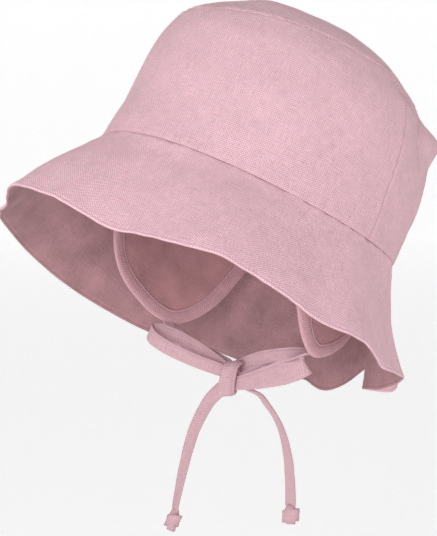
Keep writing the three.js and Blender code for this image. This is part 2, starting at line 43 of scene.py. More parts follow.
# Camera
# A long lens a little above the brim, on the wearer's left and in front, with the front of
# the bonnet towards the left of the picture. Lengths in this section are in metres.
HEAD_SEAM_MIDDLE = Vector((0.00403, -0.04323, -0.08596))
CAMERA_ROUND = math.radians(57.76)
CAMERA_UP = math.radians(2.93)
CAMERA_DISTANCE = 1.1
CAMERA_LENS = 154.4
AIM_LEFT, AIM_DOWN = 0.01307, 0.02893
to_camera = Vector((
    math.sin(CAMERA_ROUND) * math.cos(CAMERA_UP),
    -math.cos(CAMERA_ROUND) * math.cos(CAMERA_UP),
    math.sin(CAMERA_UP),
))
picture_right = Vector((math.cos(CAMERA_ROUND), math.sin(CAMERA_ROUND), 0))
picture_up = to_camera.cross(picture_right)
camera_data = bpy.data.cameras.new("camera")
camera_data.lens = CAMERA_LENS
camera_data.clip_end = 20
camera = bpy.data.objects.new("camera", camera_data)
bpy.context.scene.collection.objects.link(camera)
camera.location = HEAD_SEAM_MIDDLE + CAMERA_DISTANCE * to_camera
aim = HEAD_SEAM_MIDDLE - AIM_LEFT * picture_right - AIM_DOWN * picture_up
camera.rotation_euler = (aim - camera.location).to_track_quat("-Z", "Y").to_euler()
bpy.context.scene.camera = camera


# Hanging tie ends
# The tie is a strip of linen folded in four lengthwise and stitched shut along one edge.
# Below the bow its two ends hang free, turn a little as they fall, and are each knotted.
MM = 0.001
TIE_WIDTH = 7
TIE_THICKNESS = 1.3
BOW_FACING = math.radians(32)
# The worn bonnet is tipped back and a little to one side about the middle of its head
# seam. Upright millimetres are measured from there, with the floor level.
TIPPED_BACK = math.radians(26.7)
TIPPED_LEFT = math.radians(2.4)
CROWN_HEIGHT = 97.5
CLOTH = 1.2
KNOT_PLACE = np.array([0, -8.7, -81.2])

# From the middle of the bow's knot: upright millimetres to the wearer's left, to the back
# and up, then which way the strip's width points, in degrees from the wearer's left
RIGHT_END = [
    (-1.2, -0.6, -3, 26), (-5.2, -2.6, -6.4, 24), (-10.4, -5.2, -11.8, 21),
    (-15.2, -7.6, -20, 18), (-19.6, -9.8, -30, 14), (-22.7, -11.3, -40.6, 8), (-24.9, -12.4, -50, 2),
    (-27.1, -13.5, -59.4, -6), (-28.5, -14.2, -67.4, -12),
]
LEFT_END = [
    (-0.4, 4.6, -4, -6), (4.8, 6.8, -5.6, -10), (12, 9.2, -8.2, -12), (17.6, 10.2, -12.4, -14),
    (22.8, 12.8, -20.4, -12), (26.2, 14.4, -29.2, -6), (27.8, 15.3, -40, 2),
    (28.4, 15.6, -50, 6), (28.7, 15.8, -59.4, 10),
]

# The folded strip across: distance from its middle line and half its thickness, as shares
# of half the width and half the thickness, with the stitched groove near one edge
TIE_SECTION = [
    (-1, 0), (-0.97, 0.5), (-0.88, 0.9), (-0.72, 1.05), (-0.4, 0.95), (0, 0.9), (0.3, 0.95),
    (0.5, 1), (0.62, 0.86), (0.68, 0.55), (0.74, 0.86), (0.86, 1), (0.96, 0.7), (1, 0),
]

# The strip's cut ends close over this many of its steps, down to this share of its thickness
CLOSING_STEPS = 1.5
CLOSED_SHARE = 0.3
HANGING_STEPS = 80

# Rows of unevenness are height and size across in millimetres, and a seed, which moves the
# noise by this many steps along each axis
TIE_BEND = [(0.25, 9, 3)]
TIE_CURL = [(0.175, 6, 5)]
SEED_STEPS = (17.3, 5.1, 9.7)

bonnet_turn = np.array(
    Matrix.Rotation(-TIPPED_BACK, 3, "X") @ Matrix.Rotation(-TIPPED_LEFT, 3, "Y")
)
head_rest = bonnet_turn @ np.array([0, 0, CROWN_HEIGHT - CLOTH])


def unit(vectors):
    vectors = np.asarray(vectors, float)
    return vectors / np.maximum(np.linalg.norm(vectors, axis=-1, keepdims=True), 1e-9)


def spline(points, at):
    """Places on a smooth line through points; at runs from 0 to 1 over its stretches."""
    points = np.asarray(points, float)
    ends = np.vstack([2 * points[0] - points[1], points, 2 * points[-1] - points[-2]])
    place = np.clip(np.asarray(at, float), 0, 1) * (len(points) - 1)
    first = np.minimum(place.astype(int), len(points) - 2)
    t = (place - first)[:, None]
    p0, p1, p2, p3 = (ends[first + k] for k in range(4))
    d0, d1, d2 = (
        np.maximum(np.linalg.norm(b - a, axis=1, keepdims=True) ** 0.5, 1e-4)
        for a, b in ((p0, p1), (p1, p2), (p2, p3))
    )
    leave = ((p1 - p0) / d0 - (p2 - p0) / (d0 + d1) + (p2 - p1) / d1) * d1
    reach = ((p2 - p1) / d1 - (p3 - p1) / (d1 + d2) + (p3 - p2) / d2) * d1
    t2, t3 = t * t, t * t * t
    return (
        p1 * (2 * t3 - 3 * t2 + 1) + leave * (t3 - 2 * t2 + t)
        + p2 * (3 * t2 - 2 * t3) + reach * (t3 - t2)
    )


def length_along(line):
    return np.concatenate([[0], np.cumsum(np.linalg.norm(np.diff(line, axis=0), axis=1))])


def ripple(places, size, seed):
    """Smooth unevenness from -1 to 1 at places in millimetres, about size across."""
    shift = Vector([seed * step for step in SEED_STEPS])
    flat = places.reshape(-1, 3) / size
    return np.array([noise.noise(Vector(p) + shift) for p in flat]).reshape(places.shape[:-1])


def ripples(places, rows):
    return sum(height * ripple(places, size, seed) for height, size, seed in rows)


def make_piece(name, places, faces, corners, inside):
    """A closed mesh from places in metres, with the cloth's flat millimetres as its UVs."""
    mesh = bpy.data.meshes.new(name)
    mesh.from_pydata(places.tolist(), [], faces)
    flat = mesh.uv_layers.new(name="cloth")
    flat.data.foreach_set("uv", np.concatenate(corners).astype(np.float32).ravel())
    mark = mesh.attributes.new("inside", "FLOAT", "POINT")
    mark.data.foreach_set("value", np.asarray(inside, np.float32))
    shell = bmesh.new()
    shell.from_mesh(mesh)
    bmesh.ops.recalc_face_normals(shell, faces=shell.faces)
    shell.to_mesh(mesh)
    shell.free()
    mesh.shade_smooth()
    made = bpy.data.objects.new(name, mesh)
    bpy.context.scene.collection.objects.link(made)
    return made


def make_strip(name, rings, around, along):
    """A closed strip from rings of places in metres; around and along are its UVs."""
    count, points = rings.shape[:2]
    faces, corners = [], []
    for ring in range(count - 1):
        for point in range(points):
            after = (point + 1) % points
            faces.append((
                ring * points + point, ring * points + after,
                (ring + 1) * points + after, (ring + 1) * points + point,
            ))
            corners.append([
                (around[point], along[ring]), (around[point + 1], along[ring]),
                (around[point + 1], along[ring + 1]), (around[point], along[ring + 1]),
            ])
    for ring in (0, count - 1):
        faces.append(tuple(ring * points + point for point in range(points)))
        corners.append([(around[point], along[ring]) for point in range(points)])
    places = rings.reshape(-1, 3)
    return make_piece(name, places, faces, [np.array(c) for c in corners],
                      np.zeros(len(places)))


def tie_strip(name, route, across, steps, width=([0, 1], [1, 1]), thick=([0, 1], [1, 1])):
    """The folded strip along a route in upright millimetres, and its middle line in metres.
    width and thick scale it: shares of the way, and the scale at each."""
    at = np.linspace(0, 1, steps + 1)
    line = spline(route, at)
    ahead = unit(np.gradient(line, axis=0))
    side = spline(across, at)
    side = unit(side - ahead * np.sum(side * ahead, axis=1, keepdims=True))
    over = np.cross(ahead, side)
    section = TIE_SECTION + [(a, -h) for a, h in TIE_SECTION[-2:0:-1]]
    widths = np.interp(at, *width) * TIE_WIDTH / 2
    heights = np.interp(at, *thick) * TIE_THICKNESS / 2
    closing = np.clip(np.minimum(at, 1 - at) * steps / CLOSING_STEPS, 0, 1) ** 0.5
    heights = heights * (CLOSED_SHARE + (1 - CLOSED_SHARE) * closing)
    rings = np.stack([
        line + side * (a * widths)[:, None] + over * (h * heights)[:, None] for a, h in section
    ], axis=1)
    bend = ripples(line, TIE_BEND)[:, None, None]
    curl = (ripples(line, TIE_CURL)[:, None] * np.array([a * a for a, h in section]))[:, :, None]
    rings = rings + (bend + curl) * over[:, None, :]
    around = np.linspace(0, 2 * TIE_WIDTH, len(section) + 1)
    made = make_strip(name, (rings - head_rest) * MM, around, length_along(line))
    return made, (line - head_rest) * MM


# The plain weave shows as small raised dots where threads cross, this many millimetres
# apart. Its contrast is lower inside, and its threads drift off their straight lines.
WEAVE_PITCH = 1.3
WEAVE_CONTRAST = 0.52
CONTRAST_LOST_INSIDE = 0.65
THREAD_DRIFT = 5
# How fine the noise is across and along a thread and a slub, and for drift and cloudy tone
THREAD_GRAIN = (2.6, 0.16)
SLUB_GRAIN = (1.1, 0.05)
DRIFT_GRAIN = 0.12
CLOUD_GRAIN = 0.055
# A slub begins to show where its noise passes the first value and is full at the second
SLUB_LIMITS = (0.6, 0.78)
SLUB_SHADE = 0.05
SLUB_HEIGHT = 0.35
# Cloudy tone over the cloth from noise; inside it is much stronger, as painted patches of shade and
# light
CLOUD_SHADE = 0.14
MORE_PAINTED_SHADE_INSIDE = 0.75
BUMP_STRENGTH = 0.35
THREAD_RELIEF = 0.6 * MM


def linen(name, outer, inner, streak=1.0):
    """Linen in its outer and inner colours, woven in the cloth's own flat millimetres.
    streak scales how much single threads and slubs show."""
    material = bpy.data.materials.new(name)
    material.use_nodes = True
    nodes, links = material.node_tree.nodes, material.node_tree.links
    shader = nodes["Principled BSDF"]
    shader.inputs["Roughness"].default_value = 0.88
    shader.inputs["Specular IOR Level"].default_value = 0.2
    shader.inputs["Sheen Weight"].default_value = 0.12
    shader.inputs["Sheen Roughness"].default_value = 0.45
    shader.inputs["Sheen Tint"].default_value = (1, 0.86, 0.9, 1)
    flat = nodes.new("ShaderNodeUVMap")
    flat.uv_map = "cloth"

    def thread_noise(across, along, detail):
        turn = nodes.new("ShaderNodeMapping")
        turn.inputs["Scale"].default_value = (across, along, 1)
        links.new(flat.outputs["UV"], turn.inputs["Vector"])
        field = nodes.new("ShaderNodeTexNoise")
        field.inputs["Scale"].default_value = 1
        field.inputs["Detail"].default_value = detail
        links.new(turn.outputs["Vector"], field.inputs["Vector"])
        return field.outputs["Fac"]

    def combine(operation, first, second=None, third=None):
        made = nodes.new("ShaderNodeMath")
        made.operation = operation
        for socket, value in zip(made.inputs, (first, second, third)):
            if value is None:
                continue
            if isinstance(value, (int, float)):
                socket.default_value = value
            else:
                links.new(value, socket)
        return made.outputs["Value"]

    def spread(field, low, high):
        limits = nodes.new("ShaderNodeMapRange")
        limits.inputs["From Min"].default_value = low
        limits.inputs["From Max"].default_value = high
        limits.clamp = True
        links.new(field, limits.inputs["Value"])
        return limits.outputs["Result"]

    upright = thread_noise(*THREAD_GRAIN, 2)
    level = thread_noise(*THREAD_GRAIN[::-1], 2)
    thick_upright = spread(thread_noise(*SLUB_GRAIN, 1), *SLUB_LIMITS)
    thick_level = spread(thread_noise(*SLUB_GRAIN[::-1], 1), *SLUB_LIMITS)
    clouds = thread_noise(CLOUD_GRAIN, CLOUD_GRAIN, 3)
    drift = combine("MULTIPLY", thread_noise(DRIFT_GRAIN, DRIFT_GRAIN, 1), THREAD_DRIFT)
    cut = nodes.new("ShaderNodeSeparateXYZ")
    links.new(flat.outputs["UV"], cut.inputs["Vector"])
    per_millimetre = 2 * math.pi / WEAVE_PITCH
    waves = [
        combine("SINE", combine("MULTIPLY_ADD", cut.outputs[axis], per_millimetre, drift))
        for axis in ("X", "Y")
    ]
    where = nodes.new("ShaderNodeAttribute")
    where.attribute_name = "inside"
    lost = -CONTRAST_LOST_INSIDE * WEAVE_CONTRAST
    contrast = combine("MULTIPLY_ADD", where.outputs["Fac"], lost, WEAVE_CONTRAST)
    crossings = combine("MULTIPLY_ADD", combine("MULTIPLY", *waves), contrast, 1)
    threads = combine("ADD", combine("ADD", upright, level), crossings)
    slubs = combine("ADD", thick_upright, thick_level)
    tone = combine("MULTIPLY_ADD", combine("SUBTRACT", threads, 2), 0.5 * streak, 1)
    tone = combine("MULTIPLY_ADD", slubs, -SLUB_SHADE * streak, tone)
    # Inside, the cloudy tone grows into painted patches of shade and light
    cloud_and_painted_shade = combine("MULTIPLY_ADD", where.outputs["Fac"], MORE_PAINTED_SHADE_INSIDE, CLOUD_SHADE)
    tone = combine("MULTIPLY_ADD", combine("SUBTRACT", clouds, 0.5), cloud_and_painted_shade, tone)

    mix = nodes.new("ShaderNodeMix")
    mix.data_type = "RGBA"
    mix.inputs["A"].default_value = (*outer, 1)
    mix.inputs["B"].default_value = (*inner, 1)
    links.new(where.outputs["Fac"], mix.inputs["Factor"])
    shade = nodes.new("ShaderNodeVectorMath")
    shade.operation = "SCALE"
    links.new(mix.outputs["Result"], shade.inputs[0])
    links.new(tone, shade.inputs["Scale"])
    links.new(shade.outputs["Vector"], shader.inputs["Base Color"])

    height = combine("ADD", threads, combine("MULTIPLY", slubs, SLUB_HEIGHT))
    bump = nodes.new("ShaderNodeBump")
    bump.inputs["Strength"].default_value = BUMP_STRENGTH
    bump.inputs["Distance"].default_value = THREAD_RELIEF
    links.new(height, bump.inputs["Height"])
    links.new(bump.outputs["Normal"], shader.inputs["Normal"])
    return material


OUTER_PINK = (0.7, 0.443, 0.497)
# The inside of the same linen, darkened as painted shade
INNER_PAINTED_SHADE_PINK = (0.38, 0.213, 0.23)
# The brim's outside, lighter than the crown's outer pink, as painted light
BRIM_PAINTED_LIGHT_PINK = (0.765, 0.48, 0.54)
# The ear flaps, darkened as painted shade under the brim
FLAP_PAINTED_SHADE_PINK = (0.48, 0.25, 0.266)
BINDING_PINK = (0.58, 0.335, 0.37)
TIE_PINK = (0.56, 0.355, 0.396)
tie_linen = linen("tie linen", TIE_PINK, TIE_PINK, 0.6)


def finish_piece(made, material, slot_name, *nodes):
    made.data.materials.append(material)
    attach(made, "root")
    if nodes:
        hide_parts(*nodes)


def end_route(table):
    return KNOT_PLACE + np.array(table, float)[:, :3]


def end_across(table):
    facing = np.radians(np.array(table, float)[:, 3])
    return np.stack([np.cos(facing), np.sin(facing), 0 * facing], axis=1)


hanging_right, right_line = tie_strip(
    "tie_hanging_right", end_route(RIGHT_END), end_across(RIGHT_END), HANGING_STEPS)
hanging_left, left_line = tie_strip(
    "tie_hanging_left", end_route(LEFT_END), end_across(LEFT_END), HANGING_STEPS)
finish_piece(hanging_right, tie_linen, "tape", "tape_end_right")
finish_piece(hanging_left, tie_linen, "tape", "tape_end_left")


# Knots at the tie ends
# Each hanging end is tied in a plain overhand knot pulled tight: a lump with the strip
# wrapped round it on a slant, and the cut end of the strip peeping out below.

# The lump, and the way round it, across, deep and high in millimetres; which way the
# lump's folds turn; and the slant of the strip's turn and its width as a share of the lump
RIGHT_KNOT = {
    "lump": (5.9, 4.7, 11.4), "round_it": (6.2, 5, 10.4), "twist": 1, "slant": -1.5, "share": 0.5}
LEFT_KNOT = {
    "lump": (6.9, 5.3, 9.2), "round_it": (7.2, 5.6, 8.4), "twist": -1, "slant": -0.5, "share": 0.7}
# The lump: how far it overlaps the strip, how full and folded it is, and how it narrows
# towards the strip above this share of half its height
LUMP_OVERLAP = 1
LUMP_FULLNESS = 0.45
LUMP_FOLD = 0.1
LUMP_FOLD_SLOPE = 1.3
LUMP_NARROWS = 0.2
LUMP_NARROWS_FROM = 0.35
LUMP_CLOTH = (18, 12)
# The strip's turn: degrees round the lump, its way round as shares of the wrapped sizes,
# its tilt, and how much wider its middle is
WRAP_TURN = (100, 480)
WRAP_ACROSS, WRAP_DEEP = 0.5, 0.46
WRAP_BELOW = 0.3
WRAP_PHASE = 0.6
WRAP_TILT = 0.18
WRAP_BULGE = 1.1
WRAP_POINTS = 14
WRAP_STEPS = 80
# The strip's cut end: shares of the wrapped height down from the middle, its shift in
# millimetres, and its width and thickness as shares of the strip's own
CUT_END = (0.05, 0.25, 0.4, 0.5)
CUT_END_SIDEWAYS, CUT_END_FORWARDS = 0.35, 0.4
CUT_END_WIDTH, CUT_END_THICKNESS = (0.5, 0.62), (1.6, 2.2)
CUT_END_STEPS = 16


def gathered_lump(name, shape, cloth_size):
    """A lump of gathered cloth: shape gives the upright place of each place on a ball."""
    bpy.ops.mesh.primitive_uv_sphere_add(segments=64, ring_count=40, radius=1)
    made = bpy.context.object
    made.name = made.data.name = name
    for vertex in made.data.vertices:
        vertex.co = Vector((shape(*vertex.co) - head_rest) * MM)
    made.data.uv_layers[0].name = "cloth"
    for corner in made.data.uv_layers[0].data:
        corner.uv = (corner.uv[0] * cloth_size[0], corner.uv[1] * cloth_size[1])
    made.data.attributes.new("inside", "FLOAT", "POINT")
    made.data.shade_smooth()
    made.select_set(False)
    return made


def end_and_down(table):
    before, last = (np.array(row[:3], float) for row in table[-2:])
    return last, unit(last - before)


def end_knot(name, table, knot):
    across, deep, high = knot["lump"]
    last, down = end_and_down(table)
    middle = last + down * (high / 2 - LUMP_OVERLAP) + KNOT_PLACE
    turn = np.array(Vector(down).to_track_quat("-Z", "Y").to_matrix())

    def shape(x, y, z):
        angle = math.atan2(y, x)
        fuller = max(math.hypot(x, y), 1e-6) ** -LUMP_FULLNESS
        wrap = math.sin(2 * z * LUMP_FOLD_SLOPE + angle * knot["twist"])
        fold = 1 + LUMP_FOLD * math.copysign(abs(wrap) ** 0.6, wrap)
        waist = 1 - LUMP_NARROWS * max(0, z - LUMP_NARROWS_FROM)
        return middle + turn @ np.array([
            x * across * fold * waist * fuller, y * deep * fold * fuller, z * high]) / 2

    return gathered_lump(name, shape, LUMP_CLOTH)


def end_wrap(name, table, knot):
    """The strip's turn round the lump, and the cut end below it."""
    across, deep, high = knot["round_it"]
    slant = knot["slant"]
    last, down = end_and_down(table)
    middle = last + down * (high / 2 + WRAP_BELOW) + KNOT_PLACE
    facing = math.radians(table[-1][3]) + BOW_FACING
    side = np.array([math.cos(facing), math.sin(facing), 0])
    side = unit(side - down * side.dot(down))
    front = np.cross(side, down)
    route = [
        middle + side * math.cos(t) * across * WRAP_ACROSS
        + front * math.sin(t) * deep * WRAP_DEEP + down * slant * math.cos(t + WRAP_PHASE)
        for t in np.radians(np.linspace(*WRAP_TURN, WRAP_POINTS))
    ]
    axis = [unit(down + side * WRAP_TILT * slant)] * len(route)
    share = knot["share"] * high / TIE_WIDTH
    bulge = ([0, 0.5, 1], [share, WRAP_BULGE * share, share])
    wrap, _ = tie_strip(name + "_wrap", route, axis, WRAP_STEPS, width=bulge)
    below = [
        middle + side * slant * CUT_END_SIDEWAYS + down * high * fall
        + front * CUT_END_FORWARDS * fall
        for fall in CUT_END
    ]
    stub, _ = tie_strip(
        name + "_cut_end", below, [side] * len(below), CUT_END_STEPS,
        width=([0, 1], CUT_END_WIDTH), thick=([0, 1], CUT_END_THICKNESS))
    return wrap, stub


knot_right = end_knot("tie_knot_right", RIGHT_END, RIGHT_KNOT)
knot_left = end_knot("tie_knot_left", LEFT_END, LEFT_KNOT)
wrap_right, stub_right = end_wrap("tie_knot_right", RIGHT_END, RIGHT_KNOT)
wrap_left, stub_left = end_wrap("tie_knot_left", LEFT_END, LEFT_KNOT)
finish_piece(knot_right, tie_linen, "tape", "end_knot_right")
finish_piece(knot_left, tie_linen, "tape", "end_knot_left")
for part in (wrap_right, stub_right, wrap_left, stub_left):
    finish_piece(part, tie_linen, "tape")


# Crown
# Three pieces of linen, an oval tip and two side pieces, joined by plain seams whose
# allowances are pressed inwards, so each piece rolls down into the seam. It is soft and
# unlined, with the dents and puffs of cloth that has been worn.
SEAM_HALF_WIDTH = 66.7
SEAM_HALF_LENGTH = 78.9
SEAM_WAVE = 2
SIDE_SEAM_ANGLE = 114
# The tip's seam, as a share of the way from the head seam to the crown's middle
TIP_SEAM_AT_ENDS = 0.505
TIP_SEAM_AT_SIDES = 0.595
# The notch along a seam, which is shallower to the brim, the rolled cloth beside it, and
# the slit left between two pieces
SEAM_NOTCH = 0.5
BRIM_SEAM_NOTCH = 0.12
NOTCH_WIDTH = 0.45
SEAM_SWELL = 0.15
SWELL_FROM_SEAM = 1.8
SWELL_WIDTH = 1.1
SEAM_SLIT = 0.04
# Soft unevenness, sunk a little overall and held down near a seam, and puckers that die
# away from a seam over this many millimetres
WORN = [(1.1, 27, 1), (0.35, 10, 2)]
WORN_SUNK = 0.5
WORN_FULL_AT = 9
WORN_AT_SEAM = 0.25
PUCKERS = [(0.75, 4.6, 4)]
PUCKER_REACH = 6
# Steps of the mesh in millimetres, beside a seam and between seams, and its counts
BESIDE_SEAM = (0, 0.2, 0.45, 0.8, 1.3, 2.1, 3.2)
PANEL_STEP = 1.6
TIP_STEP = 1.7
TIP_COLUMNS = 260
OUTLINE_STEPS = 300

# Height as a share of the crown's, then shares of the seam's size to the front, side, back
CROWN_SECTIONS = np.array([
    (0, 1, 1, 1.005), (0.1, 0.985, 1, 1.03), (0.25, 0.95, 0.985, 1.06),
    (0.45, 0.93, 0.975, 1.045), (0.58, 0.905, 0.95, 0.98), (0.68, 0.87, 0.905, 0.91),
    (0.77, 0.81, 0.82, 0.81), (0.85, 0.705, 0.7, 0.685), (0.92, 0.56, 0.53, 0.52),
    (0.975, 0.32, 0.3, 0.29), (1, 0, 0, 0),
])

# Angle from the front, share of the way up, spread of each, depth as a share of the height
CROWN_DENTS = [
    (12, 0.6, 16, 0.08, 0.028), (118, 0.57, 9, 0.05, 0.032), (132, 0.44, 5, 0.1, 0.03),
    (148, 0.43, 10, 0.06, -0.06), (152, 0.53, 13, 0.045, 0.03), (60, 0.3, 22, 0.2, -0.012),
    (300, 0.45, 12, 0.12, 0.022), (222, 0.5, 10, 0.09, 0.028), (200, 0.3, 8, 0.14, 0.018),
]


def seam_outwards(angles):
    turn = np.radians(angles)
    return unit(np.stack([
        SEAM_HALF_LENGTH * np.sin(turn), -SEAM_HALF_WIDTH * np.cos(turn), 0 * turn,
    ], axis=-1))


def tip_seam_along(angles):
    endwise = np.cos(np.radians(angles)) ** 2
    return TIP_SEAM_AT_ENDS * endwise + TIP_SEAM_AT_SIDES * (1 - endwise)


def crown_places(angles, along):
    """Places on the crown for each column's angle and each row and column's share up."""
    places = np.zeros((*along.shape, 3))
    lengths = np.zeros(len(angles))
    for column, angle in enumerate(angles):
        turn = math.radians(angle)
        endwise = math.cos(turn) ** 2
        end = CROWN_SECTIONS[:, 1] if math.cos(turn) > 0 else CROWN_SECTIONS[:, 3]
        share = end * endwise + CROWN_SECTIONS[:, 2] * (1 - endwise)
        lift = SEAM_WAVE * math.cos(2 * turn) * (1 - CROWN_SECTIONS[:, 0])
        outline = np.stack([
            SEAM_HALF_WIDTH * math.sin(turn) * share,
            -SEAM_HALF_LENGTH * math.cos(turn) * share,
            CROWN_HEIGHT * CROWN_SECTIONS[:, 0] + lift,
        ], axis=1)
        line = spline(outline, np.linspace(0, 1, OUTLINE_STEPS))
        so_far = length_along(line)
        lengths[column] = so_far[-1]
        at = along[:, column] * so_far[-1]
        for axis in range(3):
            places[:, column, axis] = np.interp(at, so_far, line[:, axis])
    outwards = np.repeat(seam_outwards(angles)[None], len(along), axis=0)
    outwards[..., 2] = along
    dent = np.zeros(along.shape)
    for angle, share, spread_angle, spread_share, depth in CROWN_DENTS:
        a = ((np.asarray(angles) - angle + 540) % 360 - 180) / spread_angle
        b = (along - share) / spread_share
        dent += depth * np.exp(-(a * a)[None] - b * b)
    places -= unit(outwards) * (dent * CROWN_HEIGHT)[..., None]
    return places, lengths


def edge_steps(length, step, far=True):
    """Shares of a length, every step, and closer together near its start and its far end."""
    wide = BESIDE_SEAM[-1]
    middle = np.linspace(wide, length - (wide if far else 0), round(length / step))
    parts = [np.array(BESIDE_SEAM[:-1]), middle]
    if far:
        parts.append(length - np.array(BESIDE_SEAM[-2::-1]))
    return np.concatenate(parts) / length


def outward_normals(grid, wraps):
    if wraps:
        around = np.roll(grid, -1, axis=1) - np.roll(grid, 1, axis=1)
    else:
        around = np.gradient(grid, axis=1)
    return unit(np.cross(around, np.gradient(grid, axis=0)))


def cloth_wall(name, outer, inner, flat, wraps=False, centre=None):
    """A closed wall of cloth between two grids in level millimetres. flat is the grid's
    place on the cut cloth, and centre closes the top row at one place, as two places."""
    rows, columns = outer.shape[:2]
    last = columns if wraps else columns - 1
    back = rows * columns
    faces, corners = [], []

    def add(*spots):
        faces.append(tuple(
            back * layer + row * columns + column % columns for layer, row, column in spots))
        corners.append(np.array([flat[row, column] for layer, row, column in spots]))

    for row in range(rows - 1):
        for column in range(last):
            ahead, above = column + 1, row + 1
            add((0, row, column), (0, row, ahead), (0, above, ahead), (0, above, column))
            add((1, row, column), (1, above, column), (1, above, ahead), (1, row, ahead))
    top = rows - 1
    for column in range(last):
        add((0, 0, column + 1), (0, 0, column), (1, 0, column), (1, 0, column + 1))
        if centre is None:
            add((0, top, column), (0, top, column + 1), (1, top, column + 1), (1, top, column))
    if not wraps:
        end = columns - 1
        for row in range(rows - 1):
            add((0, row, 0), (0, row + 1, 0), (1, row + 1, 0), (1, row, 0))
            add((0, row + 1, end), (0, row, end), (1, row, end), (1, row + 1, end))
    places = np.concatenate([outer.reshape(-1, 3), inner.reshape(-1, 3)])
    inside = np.repeat([0, 1], back)
    if centre is not None:
        middle, middle_flat = centre
        for layer in (0, 1):
            for column in range(last):
                first = layer * back + top * columns + column
                after = layer * back + top * columns + (column + 1) % columns
                ring = (first, after) if layer == 0 else (after, first)
                faces.append((*ring, len(places) + layer))
                corners.append(np.array([flat[top, column], flat[top, column + 1], middle_flat]))
        places = np.concatenate([places, middle])
        inside = np.concatenate([inside, [0, 1]])
    level = (places @ bonnet_turn.T - head_rest) * MM
    return make_piece(name, level, faces, corners, inside)


def seam_roll(distance, notch):
    """How far cloth stands in or out, this many millimetres from a pressed seam."""
    swell = SEAM_SWELL * np.exp(-((distance - SWELL_FROM_SEAM) / SWELL_WIDTH) ** 2)
    return swell - notch * np.exp(-(distance / NOTCH_WIDTH) ** 2)


def worn_cloth(places, seam_distance):
    """Unevenness of soft linen, with small puckers drawn up by the seams."""
    broad = ripples(places, WORN) - WORN_SUNK
    pucker = ripples(places, PUCKERS) * np.exp(-seam_distance / PUCKER_REACH)
    return broad * np.clip(seam_distance / WORN_FULL_AT, WORN_AT_SEAM, 1) + pucker


def crown_wall(name, angles, along, distance, notch, flat, wraps, centre=None):
    places, _ = crown_places(angles, along)
    normals = outward_normals(places, wraps)
    stand = seam_roll(distance, notch) + worn_cloth(places, distance)
    outer = places + normals * stand[..., None]
    inner = outer - normals * CLOTH
    return cloth_wall(name, outer, inner, flat, wraps, centre)


def crown_panel(name, start, end):
    width = math.radians(end - start) * (SEAM_HALF_WIDTH + SEAM_HALF_LENGTH) / 2
    across = edge_steps(width, PANEL_STEP)
    slit = math.degrees(SEAM_SLIT / SEAM_HALF_WIDTH)
    angles = start + slit + (end - start - 2 * slit) * across
    _, lengths = crown_places(angles, np.zeros((2, len(angles))))
    top = tip_seam_along(angles)
    height = float(np.mean(top * lengths))
    up = edge_steps(height, PANEL_STEP)
    margin = SEAM_SLIT / height
    shares = margin + (1 - 2 * margin) * up
    along = shares[:, None] * top[None]
    from_side = np.minimum(across, 1 - across)[None] * width
    from_ends = np.minimum(up, 1 - up)[:, None] * height
    distance = np.minimum(from_side, from_ends)
    notch = np.where(up[:, None] * height < 2, BRIM_SEAM_NOTCH, SEAM_NOTCH)
    flat = np.stack(np.broadcast_arrays(across[None] * width, up[:, None] * height), axis=-1)
    return crown_wall(name, angles, along, distance, notch, flat, False)


def crown_tip():
    angles = np.arange(TIP_COLUMNS) * 360 / TIP_COLUMNS
    _, lengths = crown_places(angles, np.zeros((2, TIP_COLUMNS)))
    start = tip_seam_along(angles)
    height = float(np.mean((1 - start) * lengths))
    up = edge_steps(height, TIP_STEP, far=False)[:-1]
    margin = SEAM_SLIT / height
    along = start[None] + (1 - start[None]) * (margin + (1 - margin) * up[:, None])
    distance = np.repeat(up[:, None] * height, TIP_COLUMNS, axis=1)
    places, _ = crown_places(angles, along)
    flat = np.concatenate([places, places[:, :1]], axis=1)[..., :2]
    middle = np.array([[0, 0, CROWN_HEIGHT]], float)
    lift = float(worn_cloth(middle, np.array([60.0]))[0])
    centre = np.array([[0, 0, CROWN_HEIGHT + lift], [0, 0, CROWN_HEIGHT + lift - CLOTH]])
    return crown_wall(
        "crown_tip_linen", angles, along, distance, SEAM_NOTCH, flat, True, (centre, (0, 0)))


# The crown's inner pink, darker than its outer pink, is painted shade
crown_linen = linen("crown linen", OUTER_PINK, INNER_PAINTED_SHADE_PINK)
finish_piece(crown_tip(), crown_linen, "linen", "crown_tip")
finish_piece(crown_panel("crown_front_linen", -SIDE_SEAM_ANGLE, SIDE_SEAM_ANGLE),
             crown_linen, "linen", "crown_front_panel")
finish_piece(crown_panel("crown_back_linen", SIDE_SEAM_ANGLE, 360 - SIDE_SEAM_ANGLE),
             crown_linen, "linen", "crown_back_panel")


# Brim
# Two rings of linen sewn together at the rim, turned and topstitched close to the edge,
# and sewn to the crown. It droops in soft waves and doubles over itself at the back.
BRIM_WIDTH = 60.5
BRIM_CLOTH = 1.4
BRIM_BELLY = 2
PLEAT_FROM, PLEAT_TO = 163.2, 184.6
PLEAT_SIDEWAYS, PLEAT_DEPTH = 8.2, 3.8
# The hem in millimetres: its swell, the depth and width of its stitched groove and its
# distance from the rim, the hem's own width, and how softly it ends
HEM_SWELL = 0.1
HEM_GROOVE = 0.3
HEM_GROOVE_WIDTH = 0.4
HEM_STITCH = 1.7
HEM_WIDTH = 2.6
HEM_SOFTNESS = 0.25
RIM_ROUND = 0.9
RIM_THICKNESS = 0.15
# Small waves of the rim, which die away inwards over this many millimetres
RUFFLE = [(0.9, 15, 7), (0.4, 6, 8)]
RUFFLE_REACH = 14
BRIM_WORN_SHARE = 0.9
# Counts of the mesh, and its rows in millimetres from the rim and from the seam
BRIM_COLUMNS, PLEAT_COLUMNS, BRIM_ROWS = 440, 70, 34
BESIDE_RIM = (0, 0.25, 0.6, 1, 1.35, 1.7, 2.05, 2.5, 3.2)
BESIDE_BRIM_SEAM = (2.2, 1.5, 1, 0.6, 0.3, 0)
BRIM_UV_RADIUS = 100

